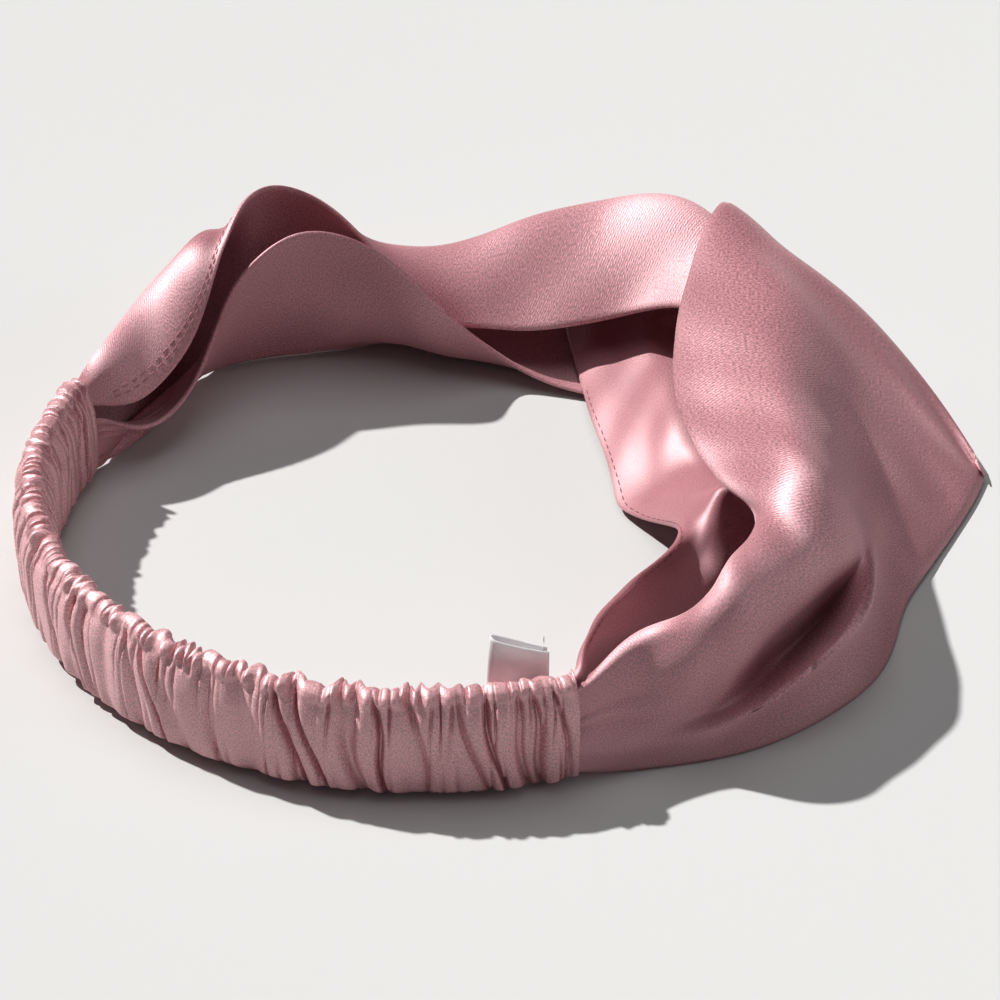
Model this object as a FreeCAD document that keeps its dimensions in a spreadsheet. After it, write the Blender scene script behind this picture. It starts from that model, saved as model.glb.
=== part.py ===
"""Knotted satin headband: two folded ribbons that lock into a knot, and a ruched casing with elastic.

The headband lies on its edge as a ring: +Z up, the floor at z = 0, the knot towards +X and +Y, and the
ruched casing towards -X and -Y. The origin is on the floor under the middle of the whole ring.
"""

import FreeCAD, Part

import math
import os

import Sketcher

Vector = FreeCAD.Vector

# Driving dimensions, millimetres and degrees.
DIMENSIONS = {
    "centre_x": 0.4,
    "centre_y": 23.2,
    "casing_middle_x": -14.0,
    "casing_middle_y": 14.0,
    "casing_semi_x": 80.0,
    "casing_semi_y": 67.5,
    "casing_start": 156.5,
    "casing_end": 290.5,
    "casing_height": 27.0,
    "casing_depth": 8.0,
    "casing_wall": 0.9,
    "casing_bottom": 0.01,
    "casing_seam_height": 3.6,
    "mouth_inset": 2.0,
    "elastic_height": 22.0,
    "elastic_thickness": 0.8,
    "band_thickness": 1.4,
    "thread": 0.5,
    "thread_clearance": 0.2,
    "stitch_length": 2.2,
    "stitch_pitch": 2.7,
    "seam_pitch": 5.0,
    "label_length": 12.0,
    "label_height": 15.0,
    "label_bottom": 18.0,
    "label_thickness": 0.5,
    "label_fold": 1.8,
    "label_angle": 288.0,
    "label_gap": 0.35,
    "label_lean": 8.0,
}

# Heights across the pleated end of the right ribbon, inside the casing.
END_HEIGHTS = (25, 20.4, 15.8, 11.2, 6.6, 2)

# The left ribbon, from the left end of the casing along its upper ply, round the other ribbon and back
# along its lower ply. A row is one section across the ribbon: free edge first, foot edge last.
LEFT_RIBBON = [
    [(-91.6, 35.6, z) for z in (25, 20, 14, 8, 2)],
    [(-90.4, 38.6, z) for z in (25, 20, 14, 8, 2)],
    [(-86, 42, 19), (-87.5, 42.5, 24), (-89, 42, 25), (-89, 42, 13), (-89, 42, 2)],
    [(-78, 45, 20), (-80.5, 47, 27), (-84, 48, 30), (-88, 50, 17), (-88, 51, 2)],
    [(-73, 50, 22), (-74.5, 54, 29), (-77, 60, 32), (-82, 65, 18), (-82, 66, 2)],
    [(-64, 56, 30), (-65.5, 62, 35), (-68.5, 70, 37), (-73, 77, 20), (-73, 79, 2)],
    [(-59, 68, 40), (-60, 74, 42), (-61.5, 80, 38), (-65, 84, 20), (-65, 84, 2)],
    [(-55, 83, 44), (-57, 85, 33), (-58, 86, 22), (-59, 85, 10), (-59, 82, 2)],
    [(-47, 87, 44), (-48, 89, 33), (-49, 90, 22), (-50, 89, 11), (-50, 85, 2)],
    [(-38, 85, 40), (-39, 89, 32), (-40, 92, 22), (-40, 92, 11), (-40, 90, 2)],
    [(-29, 82, 32), (-29, 87, 31), (-30, 92, 25), (-31, 96, 13), (-33, 97, 2)],
    [(-13, 79, 18), (-14, 82, 25), (-15, 87, 27), (-16, 97, 16), (-18, 102, 3)],
    [(-3, 76, 13), (-3, 80, 22), (-4, 87, 29), (-5, 98, 19), (-6, 104, 5)],
    [(6, 75, 12), (6, 79, 23), (6, 89, 31), (6, 100, 20), (6, 105, 7)],
    [(22, 76, 14), (23, 81, 26), (24, 93, 34), (25, 101, 22), (26, 103, 9)],
    [(38, 75, 20), (39, 79, 29), (41, 86, 36), (44, 92, 24), (45, 93, 11)],
    [(53, 61, 20), (54, 67, 25), (55, 73, 27), (56, 78, 22), (56, 81, 14)],
    [(65, 56, 11), (67, 61, 13), (68, 65, 13), (67, 70, 12), (65, 74, 9)],
    [(56, 57, 1.5), (57, 62, 1.5), (57, 68, 1.5), (56, 73, 1.5), (54, 78, 1.5)],
    [(36, 62, 1.2), (37, 69, 1.2), (37, 76, 1.2), (36, 83, 1.2), (34, 90, 1.2)],
    [(18, 67, 1.4), (18, 74, 1.2), (17, 81, 1.2), (17, 88, 1.2), (16, 95, 1.2)],
    [(7, 70, 3.5), (7, 74, 1.2), (7, 80, 1.2), (6, 87, 1.2), (6, 93, 1.2)],
    [(-2, 73, 9), (-2, 75, 2), (-3, 80, 1.2), (-4, 86, 1.2), (-5, 92, 1.2)],
    [(-13, 72, 21), (-14, 74, 11), (-14, 77, 2.5), (-15, 83, 1.2), (-16, 89, 1.2)],
    [(-24, 73, 35), (-24, 76, 24), (-25, 79, 14), (-26, 81, 4), (-27, 87, 1.2)],
    [(-36, 75, 40), (-36, 79, 30), (-35, 79, 20), (-34, 78, 10), (-35, 82, 4)],
    [(-45, 75, 39), (-45, 78, 33), (-45, 78, 27), (-45, 77, 20), (-47, 80, 13)],
    [(-52, 71, 34), (-52, 72, 31), (-52, 73, 27), (-54, 76, 22), (-55, 78, 15)],
    [(-58, 68, 27), (-57.5, 69, 23), (-57, 69, 19), (-60, 72, 14), (-61, 75, 8)],
    [(-64, 62, 18), (-63.5, 63, 15.5), (-64, 64, 12.5), (-67, 68, 8), (-69, 71, 4)],
    [(-71, 54, 12), (-71, 55, 10), (-72, 56, 8), (-74.5, 59, 5), (-77, 61, 2)],
    [(-78, 47, 13), (-78.5, 48, 10.5), (-79, 49, 8), (-80.5, 50.5, 5), (-82, 52, 2)],
    [(-84, 43.4, z) for z in (15, 12, 9, 5.5, 2)],
    [(-85.5, 40.2, z) for z in (17, 13, 9.5, 6, 2)],
    [(-86.9, 37.4, z) for z in (20, 16, 11, 6.5, 2)],
    [(-88.2, 34.4, z) for z in (20, 16, 11, 6.5, 2)],
]

# The right ribbon, from the right end of the casing along its outer ply, over and round the left ribbon,
# back under it across the floor, and up into the casing again as the inner ply.
RIGHT_RIBBON = [
    [(9.4, -52.3, z) for z in END_HEIGHTS],
    [(12, -51.6, z) for z in END_HEIGHTS],
    [(15, -50.7, z) for z in END_HEIGHTS],
    [(25, -37, 20), (24, -42, 30), (26, -46, 21), (27, -46, 12), (27, -45, 6), (27, -44, 1)],
    [(40, -27, 18), (37, -38, 34), (40, -44, 20), (39, -42, 9), (40, -42.5, 5), (39, -41, 1)],
    [(48, -12, 25), (46, -24, 40), (54, -31, 27), (52, -27, 12), (55, -30, 6), (54, -32, 1)],
    [(46, -2, 33), (54, -6, 42), (66, -13, 31), (65, -13, 14), (68, -17, 6), (69, -20, 1)],
    [(39, 5, 34), (53, 9, 42), (67, 4, 37), (72, -1, 18), (78, -5, 8), (81, -4, 1)],
    [(34, 23, 34), (49, 30, 42), (63, 26, 38), (74, 18, 26), (84, 14, 13), (93, 20, 1)],
    [(35, 48, 33), (48, 50, 42), (61, 46, 37), (74, 39, 28), (87, 32, 15), (99, 31, 1)],
    [(42, 73, 38), (53, 69, 39), (64, 63, 34), (76, 55, 27), (89, 45, 14), (101, 38, 2)],
    [(48, 86, 40), (58, 81, 35), (68, 76, 30), (78, 69, 23), (89, 57, 14), (100, 43, 5)],
    [(50, 96, 26), (61, 89, 22), (70, 82, 18), (79, 73, 14), (88, 61, 9), (96, 49, 5)],
    [(46, 102, 10), (57, 95, 8), (66, 87, 7), (74, 79, 6), (81, 69, 5), (88, 58, 4.5)],
    [(33, 101, 5), (41, 98, 5), (49, 95, 5), (57, 91, 5), (64, 87, 5), (70, 81, 5)],
    [(18, 91, 4.5), (26, 90, 5), (33, 88, 6), (41, 86, 5), (48, 83, 6), (55, 78, 5)],
    [(19.5, 62, 4), (27, 64, 6), (34, 65, 4.5), (41, 66, 6), (47, 66, 5), (53, 66, 5.5)],
    [(23, 44, 3.5), (31, 46, 5.5), (38, 48, 4.5), (45, 49, 6), (52, 49, 5), (59, 49, 5)],
    [(27, 31, 2.5), (35, 34, 4.5), (43, 37, 5), (51, 36, 5), (58, 34, 4.5), (66, 32, 4)],
    [(36, 19, 8), (43, 21, 10), (51, 20, 9), (59, 16, 6.5), (66, 12, 4), (73, 8, 2.5)],
    [(40, 8, 16), (44, 3, 13), (49, -2, 10), (55, -6, 7), (60, -9, 4), (65, -12, 2)],
    [(32, -8, 20), (36, -13, 16), (40, -18, 12), (44, -22, 8), (48, -25, 5), (51, -27, 2)],
    [(23, -21, 22), (25, -26, 18), (27, -30, 14), (29, -33, 10), (32, -36, 6), (34, -37, 2)],
    [(15, -35, 24), (16, -38, 20), (17, -40, 15), (18, -42, 11), (19, -43.5, 6.5), (20, -44.5, 2)],
    [(15.6, -46, z) for z in END_HEIGHTS],
    [(13.4, -47.6, z) for z in END_HEIGHTS],
    [(11, -48.35, z) for z in END_HEIGHTS],
    [(8.6, -49, z) for z in END_HEIGHTS],
]

# The stretch of each ribbon, counted in sections, along which its thread seam is seen.
LEFT_SEAM = (2, 14)
RIGHT_SEAM = (18, 23)


def make_sheet(doc):
    sheet = doc.addObject("Spreadsheet::Sheet", "Dimensions")
    for row, (name, value) in enumerate(DIMENSIONS.items(), start=1):
        sheet.set(f"A{row}", name)
        sheet.set(f"B{row}", str(value))
        sheet.setAlias(f"B{row}", name)
    doc.recompute()
    return sheet


def frame_offset(sheet):
    """The move that brings the middle of the ring over the origin."""
    return Vector(-sheet.centre_x, -sheet.centre_y, 0)


def casing_point(sheet, degrees, out=0.0, z=0.0):
    """A point on the casing's centre line, moved outwards by out and up to z."""
    turn = math.radians(degrees)
    x = sheet.casing_middle_x + sheet.casing_semi_x * math.cos(turn)
    y = sheet.casing_middle_y + sheet.casing_semi_y * math.sin(turn)
    normal = casing_normal(sheet, degrees)
    return Vector(x, y, z) + normal * out


def casing_normal(sheet, degrees):
    turn = math.radians(degrees)
    normal = Vector(math.cos(turn) / sheet.casing_semi_x, math.sin(turn) / sheet.casing_semi_y, 0)
    return normal.normalize()


def band_solid(sections, thickness):
    """A ribbon of even thickness through the given sections, as one closed solid."""
    grid = [[Vector(*point) for point in row] for row in sections]
    rows = len(grid)
    columns = len(grid[0])

    def slope(i, j, di, dj):
        ahead = grid[min(i + di, rows - 1)][min(j + dj, columns - 1)]
        behind = grid[max(i - di, 0)][max(j - dj, 0)]
        return ahead - behind

    def side(sign):
        poles = []
        for i in range(rows):
            line = []
            for j in range(columns):
                normal = slope(i, j, 1, 0).cross(slope(i, j, 0, 1)).normalize()
                line.append(grid[i][j] + normal * (sign * thickness / 2))
            poles.append(line)
        return poles

    front = side(1)
    back = side(-1)
    faces = [smooth_surface(front), smooth_surface(back)]
    faces += [edge_strip(one, other) for one, other in zip(border(front), border(back))]
    shell = Part.makeShell(faces)
    shell.sewShape()
    solid = Part.makeSolid(shell)
    if solid.Volume < 0:
        solid.reverse()
    return solid


def border(poles):
    first_column = [row[0] for row in poles]
    last_column = [row[-1] for row in poles]
    return [poles[0], poles[-1], first_column, last_column]


def edge_strip(front_poles, back_poles):
    """The narrow face that joins the two sides of a ribbon along one border."""
    surface = Part.BSplineSurface()
    mults, knots = even_knots(len(front_poles))
    poles = [front_poles, back_poles]
    surface.buildFromPolesMultsKnots(poles, [2, 2], mults, [0, 1], knots, False, False, 1, 3)
    return surface.toShape()


def smooth_surface(poles):
    """A cubic B-spline surface with even knots, which ends on the outer poles and passes near the rest."""
    surface = Part.BSplineSurface()
    mults_u, knots_u = even_knots(len(poles))
    mults_v, knots_v = even_knots(len(poles[0]))
    surface.buildFromPolesMultsKnots(poles, mults_u, mults_v, knots_u, knots_v, False, False, 3, 3)
    return surface.toShape()


def even_knots(count):
    knots = list(range(count - 2))
    mults = [4] + [1] * (count - 4) + [4]
    return mults, knots


def make_band(doc, sheet, label, sections):
    band = doc.addObject("Part::Feature", label)
    band.Label = label
    band.Shape = band_solid(sections, sheet.band_thickness)
    band.Placement = FreeCAD.Placement(frame_offset(sheet), FreeCAD.Rotation())
    return band


def make_spine(doc, name, start, end):
    """The casing's centre line: an arc of an ellipse on the floor."""
    spine = doc.addObject("Part::Ellipse", name)
    spine.setExpression("MajorRadius", "Dimensions.casing_semi_x")
    spine.setExpression("MinorRadius", "Dimensions.casing_semi_y")
    spine.setExpression("Angle1", start)
    spine.setExpression("Angle2", end)
    spine.setExpression("Placement.Base.x", "Dimensions.casing_middle_x - Dimensions.centre_x")
    spine.setExpression("Placement.Base.y", "Dimensions.casing_middle_y - Dimensions.centre_y")
    return spine


def make_profile(doc, sheet, name, width, height, bottom, degrees):
    """An upright rectangle across the casing's centre line at the given angle.

    It is first drawn at a rough size, and its constraints then take the real one from the sheet.
    """
    sketch = doc.addObject("Sketcher::SketchObject", name)
    half = sheet.casing_depth / 2
    corners = [Vector(-half, 0, 0), Vector(half, 0, 0), Vector(half, half, 0), Vector(-half, half, 0)]
    for index in range(4):
        sketch.addGeometry(Part.LineSegment(corners[index], corners[(index + 1) % 4]), False)
    for index in range(4):
        sketch.addConstraint(Sketcher.Constraint("Coincident", index, 2, (index + 1) % 4, 1))
    for index in (0, 2):
        sketch.addConstraint(Sketcher.Constraint("Horizontal", index))
    for index in (1, 3):
        sketch.addConstraint(Sketcher.Constraint("Vertical", index))
    wide = sketch.addConstraint(Sketcher.Constraint("DistanceX", 0, 1, 0, 2, 2 * half))
    tall = sketch.addConstraint(Sketcher.Constraint("DistanceY", 1, 1, 1, 2, half))
    left = sketch.addConstraint(Sketcher.Constraint("DistanceX", 0, 1, -1, 1, half))
    low = sketch.addConstraint(Sketcher.Constraint("DistanceY", -1, 1, 0, 1, half))
    sketch.setExpression(f"Constraints[{wide}]", width)
    sketch.setExpression(f"Constraints[{tall}]", height)
    sketch.setExpression(f"Constraints[{left}]", f"({width}) / 2")
    sketch.setExpression(f"Constraints[{low}]", bottom)
    normal = casing_normal(sheet, degrees)
    up = Vector(0, 0, 1)
    rotation = FreeCAD.Rotation(normal, up, normal.cross(up), "XYZ")
    base = casing_point(sheet, degrees) + frame_offset(sheet)
    sketch.Placement = FreeCAD.Placement(base, rotation)
    return sketch


def make_sweep(doc, name, spine, profile):
    sweep = doc.addObject("Part::Sweep", name)
    sweep.Sections = [profile]
    sweep.Spine = (spine, ["Edge1"])
    sweep.Solid = True
    sweep.Frenet = True
    return sweep


def make_casing(doc, sheet):
    """A flattened fabric tube, open at both ends, where the bands go in."""
    degrees = sheet.casing_start
    depth = "Dimensions.casing_depth"
    height = "Dimensions.casing_height - Dimensions.casing_bottom"
    bottom = "Dimensions.casing_bottom"
    wall = "Dimensions.casing_wall"
    spine = make_spine(doc, "CasingSpine", "Dimensions.casing_start", "Dimensions.casing_end")
    outside = make_profile(doc, sheet, "CasingOutside", depth, height, bottom, degrees)
    inner_depth = f"{depth} - 2 * {wall}"
    inner_height = f"Dimensions.casing_height - 2 * {wall}"
    inside = make_profile(doc, sheet, "CasingInside", inner_depth, inner_height, wall, degrees)
    casing = doc.addObject("Part::Cut", "elastic_casing")
    casing.Label = "elastic_casing"
    casing.Base = make_sweep(doc, "CasingBody", spine, outside)
    casing.Tool = make_sweep(doc, "CasingHollow", spine, inside)
    return casing


def make_elastic(doc, sheet):
    """The flat elastic that runs inside the casing, a little shorter than the casing at each mouth."""
    start = "Dimensions.casing_start + Dimensions.mouth_inset"
    end = "Dimensions.casing_end - Dimensions.mouth_inset"
    spine = make_spine(doc, "ElasticSpine", start, end)
    depth = "Dimensions.elastic_thickness"
    height = "Dimensions.elastic_height"
    bottom = f"(Dimensions.casing_height - {height}) / 2"
    degrees = sheet.casing_start + sheet.mouth_inset
    profile = make_profile(doc, sheet, "ElasticSection", depth, height, bottom, degrees)
    elastic = make_sweep(doc, "elastic_strip", spine, profile)
    elastic.Label = "elastic_strip"
    return elastic


def make_stitches(doc, label, places):
    """A row of separate thread stitches; each place is the stitch's middle and its direction."""
    threads = []
    for number, (middle, direction) in enumerate(places):
        thread = doc.addObject("Part::Cylinder", f"{label}_thread_{number}")
        thread.setExpression("Radius", "Dimensions.thread / 2")
        thread.setExpression("Height", "Dimensions.stitch_length")
        turn = FreeCAD.Rotation(Vector(0, 0, 1), direction)
        start = middle - direction * (doc.Dimensions.stitch_length / 2)
        thread.Placement = FreeCAD.Placement(start, turn)
        threads.append(thread)
    row = doc.addObject("Part::Compound", label)
    row.Label = label
    row.Links = threads
    return row


def end_row(sheet, degrees):
    """Upright stitches across the casing's outer face, which hold casing, elastic and bands together."""
    out = sheet.casing_depth / 2 + sheet.thread / 2 + sheet.thread_clearance
    count = int((sheet.casing_height - sheet.stitch_length) / sheet.stitch_pitch) + 1
    bottom = (sheet.casing_height - (count - 1) * sheet.stitch_pitch) / 2
    places = []
    for number in range(count):
        middle = casing_point(sheet, degrees, out, bottom + number * sheet.stitch_pitch)
        places.append((middle + frame_offset(sheet), Vector(0, 0, 1)))
    return places


def casing_row(sheet, height):
    """Stitches along the casing's inner face, where its tube is closed."""
    out = -(sheet.casing_depth / 2 + sheet.thread / 2 + sheet.thread_clearance)
    mean_radius = (sheet.casing_semi_x + sheet.casing_semi_y) / 2
    step = math.degrees(sheet.seam_pitch / mean_radius)
    first = sheet.casing_start + step
    last = sheet.label_angle - 2 * step
    places = []
    for number in range(int((last - first) / step) + 1):
        degrees = first + number * step
        normal = casing_normal(sheet, degrees)
        middle = casing_point(sheet, degrees, out, height) + frame_offset(sheet)
        places.append((middle, Vector(-normal.y, normal.x, 0)))
    return places


def ribbon_row(sheet, sections, stretch):
    """Stitches beside the free edge of a ribbon, on its front face, along a stretch of its length."""
    out = sheet.band_thickness / 2 + sheet.thread / 2 + sheet.thread_clearance
    edge_curve = smooth_curve([Vector(*row[0]) for row in sections])
    inner_curve = smooth_curve([Vector(*row[1]) for row in sections])
    first, last = stretch
    length = edge_curve.length(first, last)
    places = []
    for number in range(int(length / sheet.seam_pitch)):
        spot = edge_curve.parameterAtDistance((number + 0.5) * sheet.seam_pitch, first)
        along = Vector(*edge_curve.tangent(spot)[0])
        across = inner_curve.value(spot) - edge_curve.value(spot)
        across = (across - along * across.dot(along)).normalize()
        normal = along.cross(across)
        middle = edge_curve.value(spot) + across * sheet.thread + normal * out
        places.append((middle + frame_offset(sheet), along))
    return places


def smooth_curve(poles):
    curve = Part.BSplineCurve()
    mults, knots = even_knots(len(poles))
    curve.buildFromPolesMultsKnots(poles, mults, knots, False, 3)
    return curve


def label_frame(sheet):
    """The foot of the label's sewn edge, the direction back to it from the free end, and the way inwards."""
    normal = casing_normal(sheet, sheet.label_angle)
    lean = FreeCAD.Rotation(Vector(0, 0, 1), -sheet.label_lean)
    out = -(sheet.casing_depth / 2 + sheet.label_gap)
    base = casing_point(sheet, sheet.label_angle, out, sheet.label_bottom) + frame_offset(sheet)
    along = lean.multVec(Vector(-normal.y, normal.x, 0))
    inward = lean.multVec(-normal)
    return base, along, inward


def draw_label(sketch, sheet):
    """The folded tab seen from above: a narrow U whose two cut ends lie at the origin."""
    length = sheet.label_length
    fold = sheet.label_fold
    wall = sheet.label_thickness
    corners = [
        Vector(0, 0, 0),
        Vector(-length, 0, 0),
        Vector(-length, fold, 0),
        Vector(0, fold, 0),
        Vector(0, fold - wall, 0),
        Vector(wall - length, fold - wall, 0),
        Vector(wall - length, wall, 0),
        Vector(0, wall, 0),
    ]
    count = len(corners)
    for index in range(count):
        sketch.addGeometry(Part.LineSegment(corners[index], corners[(index + 1) % count]), False)
    for index in range(count):
        sketch.addConstraint(Sketcher.Constraint("Coincident", index, 2, (index + 1) % count, 1))
        kind = "Vertical" if index % 2 else "Horizontal"
        sketch.addConstraint(Sketcher.Constraint(kind, index))
    sketch.addConstraint(Sketcher.Constraint("Coincident", 0, 1, -1, 1))
    sizes = [
        ("DistanceX", 0, 2, 0, 1, "label_length"),
        ("DistanceY", 1, 1, 1, 2, "label_fold"),
        ("DistanceY", 3, 2, 3, 1, "label_thickness"),
        ("DistanceX", 1, 1, 5, 2, "label_thickness"),
        ("DistanceY", 0, 1, 6, 2, "label_thickness"),
    ]
    for kind, first, first_end, second, second_end, name in sizes:
        size = Sketcher.Constraint(kind, first, first_end, second, second_end, getattr(sheet, name))
        number = sketch.addConstraint(size)
        sketch.setExpression(f"Constraints[{number}]", f"Dimensions.{name}")


def make_label(doc, sheet):
    """A blank satin tab folded in two, its cut ends sewn to the casing and its fold at the free end."""
    body = doc.addObject("PartDesign::Body", "care_label")
    body.Label = "care_label"
    sketch = body.newObject("Sketcher::SketchObject", "LabelOutline")
    floor = [plane for plane in body.Origin.OriginFeatures if plane.Role == "XY_Plane"][0]
    sketch.AttachmentSupport = [(floor, "")]
    sketch.MapMode = "FlatFace"
    draw_label(sketch, sheet)
    pad = body.newObject("PartDesign::Pad", "LabelPad")
    pad.Profile = sketch
    pad.setExpression("Length", "Dimensions.label_height")
    base, along, inward = label_frame(sheet)
    rotation = FreeCAD.Rotation(along, inward, Vector(0, 0, 1), "XYZ")
    body.Placement = FreeCAD.Placement(base, rotation)
    return body


def label_row(sheet):
    """Upright stitches through the sewn edge of the label, on the side that faces the ring's middle."""
    base, along, inward = label_frame(sheet)
    out = sheet.label_fold + sheet.thread / 2 + sheet.thread_clearance
    foot = base - along * (2 * sheet.thread) + inward * out
    places = []
    for number in range(int(sheet.label_height / sheet.stitch_pitch)):
        up = Vector(0, 0, (number + 0.5) * sheet.stitch_pitch + sheet.thread)
        places.append((foot + up, Vector(0, 0, 1)))
    return places


def build():
    doc = FreeCAD.newDocument("KnottedHeadband")
    sheet = make_sheet(doc)
    left_row = ribbon_row(sheet, LEFT_RIBBON, LEFT_SEAM)
    right_row = ribbon_row(sheet, RIGHT_RIBBON, RIGHT_SEAM)
    parts = [
        make_band(doc, sheet, "band_left", LEFT_RIBBON),
        make_band(doc, sheet, "band_right", RIGHT_RIBBON),
        make_casing(doc, sheet),
        make_elastic(doc, sheet),
        make_label(doc, sheet),
        make_stitches(doc, "band_left_seam", left_row),
        make_stitches(doc, "band_right_seam", right_row),
        make_stitches(doc, "casing_seam", casing_row(sheet, sheet.casing_seam_height)),
        make_stitches(doc, "end_stitches_left", end_row(sheet, sheet.casing_start + sheet.mouth_inset)),
        make_stitches(doc, "end_stitches_right", end_row(sheet, sheet.casing_end - sheet.mouth_inset)),
        make_stitches(doc, "label_stitches", label_row(sheet)),
    ]
    doc.recompute()
    return doc, parts


def check(doc, parts):
    for item in doc.Objects:
        bad = [word for word in item.State if word in ("Invalid", "Error")]
        if bad:
            raise RuntimeError(f"{item.Label} is {bad}")
    for part in parts:
        if part.Shape.isNull() or not part.Shape.isValid():
            raise RuntimeError(f"{part.Label} has no valid shape")


def write(parts):
    os.makedirs("parts", exist_ok=True)
    for part in parts:
        part.Shape.exportStep(f"parts/{part.Label}.step")
        box = part.Shape.BoundBox
        low = [round(value, 1) for value in (box.XMin, box.YMin, box.ZMin)]
        high = [round(value, 1) for value in (box.XMax, box.YMax, box.ZMax)]
        print(part.Label, f"{part.Shape.Volume:.0f} mm3", low, high)


document, subparts = build()
check(document, subparts)
write(subparts)
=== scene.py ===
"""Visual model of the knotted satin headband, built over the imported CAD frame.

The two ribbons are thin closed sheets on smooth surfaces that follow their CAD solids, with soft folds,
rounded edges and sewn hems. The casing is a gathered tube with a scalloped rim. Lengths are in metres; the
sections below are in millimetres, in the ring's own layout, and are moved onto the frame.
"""
import math

import bpy
import numpy as np
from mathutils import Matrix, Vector


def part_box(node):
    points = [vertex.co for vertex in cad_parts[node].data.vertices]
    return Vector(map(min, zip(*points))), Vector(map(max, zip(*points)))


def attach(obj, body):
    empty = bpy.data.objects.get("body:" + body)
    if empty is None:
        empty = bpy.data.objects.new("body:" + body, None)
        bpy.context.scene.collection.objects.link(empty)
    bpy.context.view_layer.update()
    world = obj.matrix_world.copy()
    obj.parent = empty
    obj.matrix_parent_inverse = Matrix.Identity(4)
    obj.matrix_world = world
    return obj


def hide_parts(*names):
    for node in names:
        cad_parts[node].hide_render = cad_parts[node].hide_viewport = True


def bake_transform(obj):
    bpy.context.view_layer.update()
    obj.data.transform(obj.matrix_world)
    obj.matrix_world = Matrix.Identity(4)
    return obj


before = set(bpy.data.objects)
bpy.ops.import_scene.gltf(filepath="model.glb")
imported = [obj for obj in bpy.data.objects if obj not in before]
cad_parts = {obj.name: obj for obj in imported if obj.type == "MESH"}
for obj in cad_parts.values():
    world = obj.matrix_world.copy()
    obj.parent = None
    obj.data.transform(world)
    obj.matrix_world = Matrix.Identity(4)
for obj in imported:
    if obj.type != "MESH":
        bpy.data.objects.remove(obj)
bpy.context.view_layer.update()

MM = 0.001

# Cloth, thread, weave and stitches, metres.
CLOTH = 1.05 * MM
ELASTIC = 0.7 * MM
LABEL_TAPE = 0.3 * MM
THREAD = 0.10 * MM
TWILL_PITCH = 0.5 * MM
HEM_INSET = 1.7 * MM
HEM_STITCH = (2.3 * MM, 1.7 * MM)
ROW_STITCH = (2.6 * MM, 1.8 * MM)
SEAM_STITCH = (3.0 * MM, 2.2 * MM)

# The casing's arc in the ring's layout (millimetres, degrees).
CASING_MIDDLE = (-14.0, 14.0)
CASING_RADII = (80.0, 67.5)
CASING_HALF_DEPTH = 4.0
CASING_TURN = (156.5, 290.5)
CASING_HEIGHT = 27.0
LABEL_TURN = 288.0

# The wall of the casing's tube, and the gap under it (millimetres).
CASING_WALL = 1.3
CASING_FLOOR_GAP = 0.25

# Folds of the casing: how many along it, how uneven, smallest and largest height (millimetres).
DEEP_FOLDS = (19, 0.32, 1.2, 3.7)
RIM_FOLDS = (50, 0.40, 0.3, 1.9)
FOOT_FOLDS = (41, 0.40, 0.3, 1.8)

# Stitched hems, as the share of each ribbon's length that they run over.
LEFT_HEM = (0.05, 0.24)
RIGHT_HEM = (0.62, 0.93)

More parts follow.
